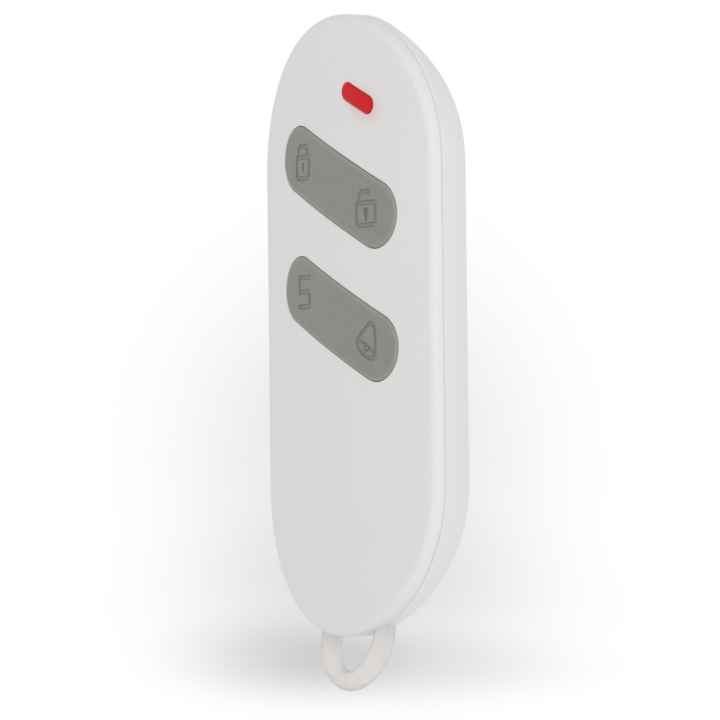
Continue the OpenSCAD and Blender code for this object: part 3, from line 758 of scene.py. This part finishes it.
def rearCover():
    # Back plate with two screw wells, carried over the rounded back edge and the leaning wall to the
    # parting line, and back inside at the wall's thickness
    h = housing
    shell = newShell()
    kinkY = rimY + h["wallStart"]
    wallX = halfWide - h["wallRound"] * math.cos(h["wallLean"])  # centre of the wall's arc
    wallY = kinkY - h["wallRound"] * math.sin(h["wallLean"])
    bendY = wallY + h["wallRound"] * math.sin(h["backLean"])
    backRound = (backY - bendY) / (1 - math.sin(h["backLean"]))
    flat = wallX + (h["wallRound"] - backRound) * math.cos(h["backLean"])
    wellZ = endZ + halfWide - screwHole["fromEnd"]

    def wallRadius(y, inset):
        # Radius of the outline at the depth y, on the wall's arc
        return wallX + np.sqrt((h["wallRound"] - inset) ** 2 - (y - wallY) ** 2)

    def backDepth(x, z, inset):
        # Level back, then the tighter arc from the flat's edge, then the wall's arc
        reach = np.hypot(x, z - np.clip(z, -endZ, endZ))
        small = backRound - inset
        tight = backY - backRound + np.sqrt(small ** 2 - np.clip(reach - flat, 0, small) ** 2)
        wide = wallY + np.sqrt((h["wallRound"] - inset) ** 2 - (reach - wallX) ** 2)
        return np.where(reach - flat < small * math.cos(h["backLean"]), tight, wide)

    lip = screwHole["lip"]
    wells = [(0, way * wellZ, 0, screwHole["radius"] + lip) for way in (-1, 1)]
    bosses = [(0, way * wellZ, 0, screwHole["boss"]) for way in (-1, 1)]
    outer = plateGrid(h["backRadius"], 0.0, wells)
    inner = plateGrid(h["innerRadius"], 0.0, bosses)
    outerY = backDepth(outer["x"], outer["z"], 0)
    innerY = backDepth(inner["x"], inner["z"], h["wall"])
    outerNumber = addPoints(shell, outer["x"], outerY, outer["z"] + midZ)
    innerNumber = addPoints(shell, inner["x"], innerY, inner["z"] + midZ)
    addQuads(shell, outerNumber, keep=outer["keep"])
    addQuads(shell, innerNumber, keep=inner["keep"])
    rimX, rimZ = outer["x"][outer["edge"]], outer["z"][outer["edge"]]
    rings = [outerNumber[outer["edge"]]]
    sideX, _ = edgeRing(rimX, rimZ, halfWide)
    seam = seamDepth(sideX) + h["seamGap"]
    along, dip = h["rearEdge"]
    kink = np.maximum(kinkY, seam + along + h["leastWall"])
    startY = backDepth(h["backRadius"], 0, 0)
    # 0 along the straight sides, growing to 1 at the tip of each round end
    share = 1 - (sideX / halfWide) ** 2
    full = np.where(rimZ < 0, h["endFull"] * share, 0)
    slim = np.where(rimZ > 0, h["endSlim"] * share, 0)
    for part in np.linspace(0, 1, h["wallSteps"] + 1)[1:]:
        y = startY + (kink - startY) * part
        radius = wallRadius(y - full * part + slim * 4 * part * (1 - part), 0)
        x, z = edgeRing(rimX, rimZ, np.minimum(radius, halfWide))
        rings.append(addPoints(shell, x, y, z + midZ))
    # broken edge at the parting line
    rim = np.minimum(wallRadius(np.maximum(seam + along, kinkY) - full, 0), halfWide)
    x, z = edgeRing(rimX, rimZ, rim)
    rings.append(addPoints(shell, x, seam + along, z + midZ))
    for sine, cosine in quarter(h["seamSteps"]):
        x, z = edgeRing(rimX, rimZ, rim - dip * (1 - cosine))
        rings.append(addPoints(shell, x, seam + along * (1 - sine), z + midZ))
    # shelf for the tongue, and the inside of the wall
    shelf = h["wall"] - h["tongueThick"] - h["tongueGap"]
    sink = seam + h["tongueDeep"] + h["tongueGap"]
    cavity = np.minimum(wallRadius(sink, h["wall"]), halfWide - h["wall"])
    for radius, y in ((halfWide - shelf, seam), (halfWide - shelf, sink), (cavity, sink)):
        x, z = edgeRing(rimX, rimZ, radius)
        rings.append(addPoints(shell, x, y, z + midZ))
    endY = backDepth(h["innerRadius"], 0, h["wall"])
    for part in np.linspace(0, 1, h["innerSteps"] + 1)[1:-1]:
        y = sink + (endY - sink) * part
        x, z = edgeRing(rimX, rimZ, np.minimum(wallRadius(y, h["wall"]), cavity))
        rings.append(addPoints(shell, x, y, z + midZ))
    rings.append(innerNumber[inner["edge"]])
    addQuads(shell, np.array(rings), closed=True)
    for hole, inside in zip(outer["holes"], inner["holes"]):
        rings = [outerNumber[hole["loop"]]]
        for sine, cosine in quarter(h["lipSteps"]):
            x, z = holeRing(hole, screwHole["radius"] + lip * (1 - sine), 0.0)
            rings.append(addPoints(shell, x, backDepth(x, z, 0) - lip * (1 - cosine), z + midZ))
        # seat, thread hole and post
        under = screwHole["seatY"] - screwHole["floor"]
        for radius, y in ((screwHole["radius"], screwHole["seatY"]), (screwHole["bore"], screwHole["seatY"]),
                          (screwHole["bore"], under), (screwHole["boss"], under)):
            x, z = holeRing(hole, radius, 0.0)
            rings.append(addPoints(shell, x, y, z + midZ))
        rings.append(innerNumber[inside["loop"]])
        addQuads(shell, np.array(rings), closed=True)
    piece = addPiece("rearCover", shell, "white_shell", "housing")
    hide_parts("rear_cover")
    return piece


rearPiece = rearCover()
print("rear cover:", len(rearPiece.data.polygons), "faces")


# Signs sunk in the keys: strokes through points in millimetres, seen from the front

# ramp and deep shape the sunk grooves; the three shades are painted shade in their colour
signGroove = {
    "ramp": 0.11,  # width of a groove's sloped wall
    "deep": 0.17,
    "floorShade": 0.16,  # share of the painted shade colour on the floor
    "holeShade": 0.5,  # the same in a filled hole
    "wallShade": 2.0,  # half way down the wall a quarter of this painted shade is added
}


def arcPoints(x, z, rx, rz, start, end, steps, turn=0.0):
    # Points of an elliptic arc whose long axis is turned by the given angle
    angles = np.radians(np.linspace(start, end, steps))
    u, v = rx * np.cos(angles), rz * np.sin(angles)
    c, s = math.cos(math.radians(turn)), math.sin(math.radians(turn))
    return list(zip(x + u * c - v * s, z + u * s + v * c))


def frameOf(x, z, cut):
    # Box outline with cut corners
    return [(cut - x, -z), (x - cut, -z), (x, cut - z), (x, z), (-x, z), (-x, cut - z), (cut - x, -z)]


slimHole = [([(0.0, 0.34), (0.0, 0.28)], 0.54), ([(0.0, 0.2), (0.0, -0.34)], 0.26)]
dropHole = [
    ([(0.0, 0.25), (0.0, 0.17)], 0.94),
    ([(0.0, 0.2), (0.0, -0.15)], 0.66),
    ([(0.0, 0.0), (0.0, -0.72)], 0.34),
]
closedLock = {
    "at": (-7.22, 19.43),
    "strokes": [
        (frameOf(1.51, 1.28, 0.25), 0.5),
        ([(-1.07, 1.28), (-1.07, 2.25), (-0.75, 2.59), (1.07, 2.59), (1.07, 1.28)], 0.48),
    ] + slimHole,
}
openLock = {
    "at": (6.66, 13.02),
    "strokes": [
        (frameOf(1.82, 1.335, 0.35), 0.5),
        ([(-1.3, 1.335), (-1.3, 2.3), (-0.95, 2.67), (0.6, 2.67)], 0.54),
    ],
    "hole": dropHole,
}
stepSign = {
    "at": (-7.15, 4.3),
    "strokes": [
        ([(1.24, 1.77), (-1.24, 1.77), (-1.24, 0.0), (1.24, 0.0), (1.24, -1.77), (-1.24, -1.77)], 0.52),
    ],
}
bell = {
    "at": (6.38, -3.07),
    "strokes": [
        ([(-1.8, 1.01), (-0.54, 2.09), (0.58, 2.89), (0.78, 2.97), (1.48, 2.79), (1.65, 2.59), (1.85, 0.79),
          (1.8, -1.01)], 0.42),
        (arcPoints(0, 0, 2.06, 0.82, 180, 360, 17, -29.4), 0.46),
        (arcPoints(0, 0, 1.8, 0.43, 165, 15, 13, -29.4), 0.26),
        (arcPoints(0.14, 0.02, 0.5, 0.27, 0, 360, 17), 0.22),
    ],
}
keySigns = {"upper_rocker_key": [closedLock, openLock], "lower_rocker_key": [stepSign, bell]}


def strokeDistance(x, z, points):
    # Least distance from each place to a line through the points
    nearest = np.full(x.shape, np.inf)
    for (x0, z0), (x1, z1) in zip(points[:-1], points[1:]):
        dx, dz = x1 - x0, z1 - z0
        part = np.clip(((x - x0) * dx + (z - z0) * dz) / max(dx * dx + dz * dz, 1e-12), 0, 1)
        nearest = np.minimum(nearest, np.hypot(x - x0 - part * dx, z - z0 - part * dz))
    return nearest


def grooveShare(x, z, signs):
    # 0 on the plain face, 1 on the floor of a groove or hole, with a sloped wall between them;
    # beside it the same for the holes alone
    share, hole = np.zeros(x.shape), np.zeros(x.shape)
    for sign in signs:
        for kind in ("strokes", "hole"):
            for points, wide in sign.get(kind, []):
                away = strokeDistance(x - sign["at"][0], z - sign["at"][1], points) - wide / 2
                sunk = np.clip(0.5 - away / signGroove["ramp"], 0, 1)
                share = np.maximum(share, sunk)
                if kind == "hole":
                    hole = np.maximum(hole, sunk)
    return share, hole


pillRows = {
    "span": 0.985,  # share of the half width at which the rows stop
    "ease": 0.6,  # 0 for even rows, 1 for rows that close up as a sine does
}


def pillSolid(shell, size, x0, z0, signs=()):
    # Top that follows the bowed face, with sunk signs, an elliptic edge, a straight wall and a flat
    # underside
    c, s = math.cos(slope), math.sin(slope)
    top, half = size["radius"] - size["edgeWide"], size["half"]
    span, ease = pillRows["span"], pillRows["ease"]
    t = np.linspace(-span, span, int(2 * top / size["step"]))
    v = top * (ease * np.sin(np.pi / 2 * t) + (1 - ease) * t)
    reach = half + np.sqrt(top ** 2 - v ** 2)
    u = reach[:, None] * np.linspace(-1, 1, int(2 * (half + top) / size["step"]))
    v = np.repeat(v[:, None], u.shape[1], axis=1)
    for row, way in ((0, -1), (-1, 1)):
        v[row] = way * np.sqrt(top ** 2 - np.maximum(np.abs(u[row]) - half, 0) ** 2)
    x, z = x0 + u * c + v * s, z0 - u * s + v * c
    share, hole = grooveShare(x, z, signs)
    number = addPoints(shell, x, faceDepth(x) - size["proud"] + signGroove["deep"] * share, z + midZ)
    addQuads(shell, number)
    loop = boxLoop(0, len(v) - 1, 0, u.shape[1] - 1)
    spine = np.clip(u[loop], -half, half)
    outU, outV = (u[loop] - spine) / top, v[loop] / top

    def ring(radius):
        # The pill's outline at another radius, point for point
        ringU, ringV = spine + outU * radius, outV * radius
        return x0 + ringU * c + ringV * s, z0 - ringU * s + ringV * c

    rings = [number[loop]]
    for sine, cosine in quarter(size["edgeSteps"]):
        x, z = ring(size["radius"] - size["edgeWide"] * (1 - sine))
        y = faceDepth(x) - size["proud"] + size["edgeDrop"] * (1 - cosine)
        rings.append(addPoints(shell, x, y, z + midZ))
    x, z = ring(size["radius"])
    rings.append(addPoints(shell, x, size["backY"], z + midZ))
    addQuads(shell, np.array(rings), closed=True)
    rows, columns = len(v) - 1, u.shape[1] - 1
    last = rings[-1]
    leftSide, rightSide = last[:rows + 1], last[rows + columns:2 * rows + columns + 1][::-1]
    addQuads(shell, np.stack([leftSide, rightSide], axis=1))
    shell["faces"].append(last[rows:rows + columns + 1].tolist())
    shell["faces"].append(np.append(last[2 * rows + columns:], last[0]).tolist())
    return share.ravel(), hole.ravel()


def addBar(shell, start, end, radius, sides=32):
    # Round bar between two points, closed at both ends
    start, end = np.array(start, float), np.array(end, float)
    axis = (end - start) / np.linalg.norm(end - start)
    other = np.cross(axis, [0, 1, 0] if abs(axis[1]) < 0.9 else [1, 0, 0])
    other /= np.linalg.norm(other)
    third = np.cross(axis, other)
    turn = np.linspace(0, 2 * np.pi, sides, endpoint=False)[:, None]
    circle = radius * (np.cos(turn) * other + np.sin(turn) * third)
    number = np.array([addPoints(shell, *(point + circle).T) for point in (start, end)])
    addQuads(shell, number, closed=True)
    shell["faces"] += [number[0].tolist(), number[1].tolist()]


pivot = {
    "y": rimY + 0.95,
    "radius": 0.8,
    "half": 5.87,
    "pusherReach": 9.1,  # from the middle of the key to each pusher
    "pusherRadius": 1.0,
    "pusherEnd": rimY + 2.25,
    "pusherBite": 0.2,  # how far a pusher runs into the key
}


def rockerKey(node, body):
    # Key with its pivot pin and its two pushers, and two numbers at each point: the painted shade of the
    # sunk signs, and how far out it lies on the rounded edge
    x0, z0, size = spots[node]
    shell = newShell()
    share, hole = pillSolid(shell, size, x0, z0, keySigns[node])
    c, s = math.cos(slope), math.sin(slope)
    middle = np.array([x0, pivot["y"], z0 + midZ])
    along, across = np.array([c, 0, -s]), np.array([s, 0, c])
    addBar(shell, middle - across * pivot["half"], middle + across * pivot["half"], pivot["radius"])
    for way in (-1, 1):
        foot = middle + way * along * pivot["pusherReach"]
        start = [foot[0], size["backY"] - pivot["pusherBite"], foot[2]]
        addBar(shell, start, [foot[0], pivot["pusherEnd"], foot[2]], pivot["pusherRadius"])
    piece = addPiece("upperRockerKey" if "upper" in node else "lowerRockerKey", shell, "grey_key", body)
    # the painted shade of the sunk signs, kept at each point
    paintedGrooveShade = piece.data.attributes.new("paintedGrooveShade", "FLOAT", "POINT")
    floor = signGroove["floorShade"] + (signGroove["holeShade"] - signGroove["floorShade"]) * hole
    shade = floor * share + signGroove["wallShade"] * share * (1 - share)
    rest = np.zeros(len(piece.data.vertices) - len(share))
    paintedGrooveShade.data.foreach_set("value", np.append(shade, rest).astype(np.float32))
    place = np.empty(len(piece.data.vertices) * 3)
    piece.data.vertices.foreach_get("co", place)
    x, _, z = place.reshape(-1, 3).T / mm
    # 0 on the top, rising to 1 over the rounded edge: the share of the painted edge highlight
    u, v = (x - x0) * c - (z - midZ - z0) * s, (x - x0) * s + (z - midZ - z0) * c
    away = np.hypot(u - np.clip(u, -size["half"], size["half"]), v)
    edge = piece.data.attributes.new("edge", "FLOAT", "POINT")
    paintedEdgeHighlight = np.clip((away - size["radius"]) / size["edgeWide"] + size["edgeHighlightFrom"], 0, 1)
    edge.data.foreach_set("value", paintedEdgeHighlight.astype(np.float32))
    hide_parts(node)
    return piece


for node, body in (("upper_rocker_key", "upper_key"), ("lower_rocker_key", "lower_key")):
    made = rockerKey(node, body)
    print(made.name + ":", len(made.data.polygons), "faces")

lensShell = newShell()
pillSolid(lensShell, lensSize, *spots["indicator_lens"][:2])
lensPiece = addPiece("indicatorLens", lensShell, "red_lens", "housing")
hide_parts("indicator_lens")
print("lens ready")

# Snap domes under the ends of the keys

domeSize = {
    "sheet": 0.1,
    "tip": 0.1,  # radius of the small flat at the top
    "keep": 0.12,  # share of its height that a pressed dome keeps
    "outsideRings": 12,
    "insideRings": 10,
    "sides": 48,
}


def snapDome(name, node):
    # Cap of a sphere through the dome's rim and top, and the same sphere drawn in by the sheet's
    # thickness
    low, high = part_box(node)
    x0, z0 = (low.x + high.x) / 2 / mm, (low.z + high.z) / 2 / mm
    reach, rise = (high.x - low.x) / 2 / mm, (high.y - low.y) / mm
    bend = (reach ** 2 + rise ** 2) / (2 * rise)
    under = bend - domeSize["sheet"]
    foot = math.sqrt(under ** 2 - (bend - rise) ** 2)
    outside = np.linspace(domeSize["tip"], reach, domeSize["outsideRings"])
    inside = np.linspace(foot, domeSize["tip"], domeSize["insideRings"])
    radius = np.concatenate([outside, inside])[:, None]
    height = np.sqrt(np.concatenate([bend ** 2 - outside ** 2, under ** 2 - inside ** 2]))[:, None]
    turn = np.linspace(0, 2 * np.pi, domeSize["sides"], endpoint=False)
    shell = newShell()
    number = addPoints(shell, x0 + radius * np.cos(turn), high.y / mm - height + bend - rise,
                       z0 + radius * np.sin(turn))
    addQuads(shell, number, closed=True)
    shell["faces"] += [number[0].tolist(), number[-1].tolist()]
    piece = addPiece(name, shell, "dome_steel", "housing")
    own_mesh(piece)
    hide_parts(node)


for name, node, joint in (
        ("armDome", "arm_dome", "upper_key_rock"), ("disarmDome", "disarm_dome", "upper_key_rock"),
        ("partArmDome", "part_arm_dome", "lower_key_rock"), ("panicDome", "panic_dome", "lower_key_rock")):
    snapDome(name, node)
print("domes ready")

# Key loop

loopSize = {
    "rod": 1.3,
    "bend": 5.7,  # radius of the half ring, to the middle of the rod
    "bendRise": 0.3,  # centre of the half ring above the body's lower end
    "lean": math.radians(12.5),  # lean of the half ring towards the front
    "legEnd": 1.0,  # end of each straight leg above the centre of the half ring
    "footRise": 4.235,  # underside of the feet above the body's lower end
    "footTall": 1.2,
    "footRadius": 2.0,
    "footStep": 0.001,  # height over which the rod steps out to the foot
    "footClear": 0.05,  # between a foot and the inside of the face
    "bendRings": 65,
    "sides": 64,
}


def keyLoop():
    # A circle carried down one leg, round the leaning half ring and up the other leg, wider at the feet
    shell = newShell()
    size = loopSize
    lowEnd = frontLow.z / mm
    footZ, bendZ = lowEnd + size["footRise"], lowEnd + size["bendRise"]
    legZ = np.array([footZ + size["footTall"], footZ + size["footStep"], footZ, bendZ + size["legEnd"]])
    turn = np.linspace(np.pi, 2 * np.pi, size["bendRings"])
    level = np.zeros(len(legZ))
    # the first and last rings of the bend take half of the lean
    bendLean = np.full(len(turn), size["lean"])
    bendLean[[0, -1]] /= 2
    lean = np.concatenate([level, bendLean, level])
    outX = np.concatenate([level - 1, np.cos(turn), level + 1])
    down = np.concatenate([level, np.sin(turn), level])
    outY, outZ = down * math.sin(size["lean"]), down * math.cos(size["lean"])
    rise = np.concatenate([legZ - bendZ, np.zeros(len(turn)), legZ[::-1] - bendZ])
    middleZ = bendZ + size["bend"] * outZ + rise
    radius = np.full(len(lean), size["rod"])
    radius[[0, 1, -2, -1]] = size["footRadius"]
    around = np.linspace(0, 2 * np.pi, size["sides"], endpoint=False)
    across = size["bend"] + radius[:, None] * np.cos(around)
    beside = radius[:, None] * np.sin(around)
    x = outX[:, None] * across
    y = outY[:, None] * across + np.cos(lean)[:, None] * beside
    z = middleZ[:, None] + outZ[:, None] * (across - size["bend"]) - np.sin(lean)[:, None] * beside
    clear = faceDepth(x, housing["wall"] + size["footClear"])
    y = np.where(radius[:, None] > size["rod"], np.maximum(y, clear), y)
    number = addPoints(shell, x, y, z)
    addQuads(shell, number, closed=True)
    shell["faces"] += [number[0].tolist(), number[-1].tolist()]
    piece = addPiece("keyLoop", shell, "loop_nylon", "housing", sharp=50)
    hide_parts("key_loop")


keyLoop()
print("key loop ready")

# Inner pieces and screws keep their solids and get the finish of their slot

for part in frame["record"]["subparts"]:
    node = nodes[part["node"]]
    if not node.hide_render:
        node.data.materials.clear()
        node.data.materials.append(finish[part["material_slot"]])
